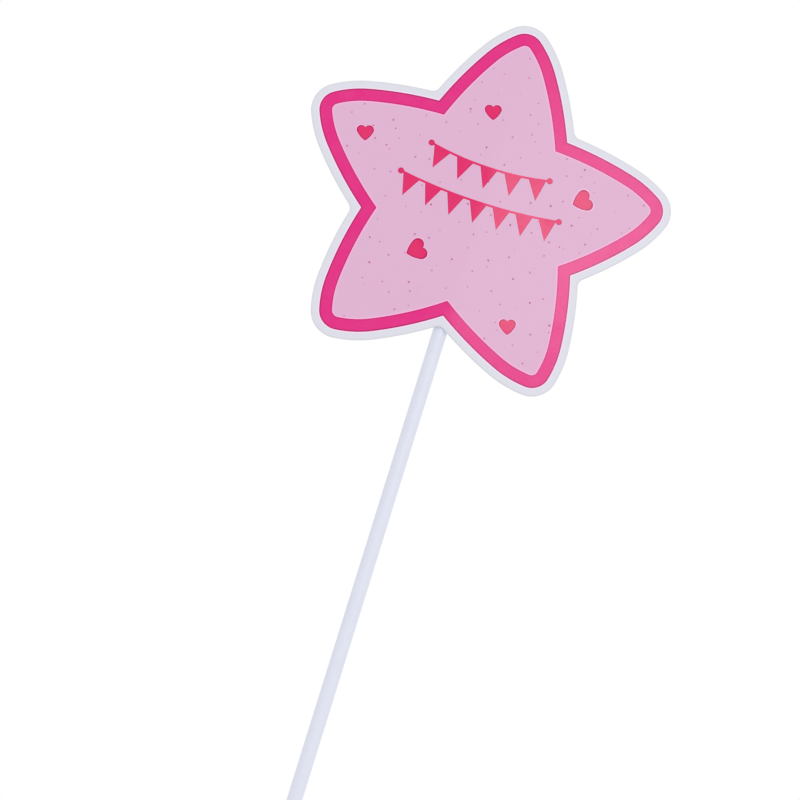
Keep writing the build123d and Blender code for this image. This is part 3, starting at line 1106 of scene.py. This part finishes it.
# %% Soft box, key lamp and back lamp
lamp_distance = 1.6
gaze = Vector((star_aside, -stick_radius - film_front, star_height)) * MM


def direction(azimuth, rise):
    """Unit vector to an azimuth and a rise in degrees; azimuth 0 is straight in front of the print.

    It is sin(azimuth) cos(rise), -cos(azimuth) cos(rise) and sin(rise).
    """
    turn, lift = math.radians(azimuth), math.radians(rise)
    return Vector((math.sin(turn) * math.cos(lift), -math.cos(turn) * math.cos(lift), math.sin(lift)))


def soft_lamp(name, azimuths, rises, radiance):
    """Area lamp that covers a span of azimuths and rises, in degrees, as seen from the star's front.

    Its sides are the distance times the span in radians, and its power is pi times area times radiance.
    """
    lamp = bpy.data.lights.new(name, "AREA")
    lamp.shape = "RECTANGLE"
    lamp.size = lamp_distance * math.radians(azimuths[1] - azimuths[0])
    lamp.size_y = lamp_distance * math.radians(rises[1] - rises[0])
    lamp.energy = math.pi * lamp.size * lamp.size_y * radiance
    way = direction(sum(azimuths) / 2, sum(rises) / 2)
    holder = bpy.data.objects.new(name, lamp)
    holder.location = gaze + way * lamp_distance
    holder.rotation_euler = way.to_track_quat("Z", "Y").to_euler()
    holder.visible_camera = False
    scene.collection.objects.link(holder)
    print(name, "is", round(lamp.size, 2), "by", round(lamp.size_y, 2), "m with", round(lamp.energy, 2), "W")


soft_lamp("soft_box", (6.5, 22.0), (10.6, 17.0), 6.2)
soft_lamp("key_lamp", (0.0, 35.0), (28.0, 50.0), 1.1)
soft_lamp("back_lamp", (150.0, 215.0), (15.0, 45.0), 0.9)

# %% [markdown]
# ## Camera
#
# The photograph looks slightly up at the card from below its middle, with the camera rolled so that the
# stick leans. The direction, roll and focal length were measured by laying the star's outline over the
# photograph, and they are written here as angles and one target point.

# %% Camera
view_azimuth = -3.12
view_rise = -9.75
view_roll = math.radians(17.34)
view_distance = 600 * MM
view_target = Vector((-4.34, -2.33, 112.03)) * MM
image_side = 800
focal_pixels = 2556
back = direction(view_azimuth, view_rise)
level = (-back).cross(Vector((0, 0, 1))).normalized()
upright = level.cross(-back)
image_right = math.cos(view_roll) * level + math.sin(view_roll) * upright
image_up = -math.sin(view_roll) * level + math.cos(view_roll) * upright
lens = bpy.data.cameras.new("camera")
lens.sensor_fit = "HORIZONTAL"
lens.sensor_width = 36
lens.lens = focal_pixels / image_side * lens.sensor_width
lens.clip_start = 0.01
camera = bpy.data.objects.new("camera", lens)
turn_to_view = Matrix((image_right, image_up, back)).transposed().to_4x4()
camera.matrix_world = Matrix.Translation(view_target + back * view_distance) @ turn_to_view
scene.collection.objects.link(camera)
scene.camera = camera
scene.view_settings.view_transform = "Standard"
print("lens", round(lens.lens, 1), "mm, camera", round(camera.matrix_world.translation.z / MM, 1), "mm up")
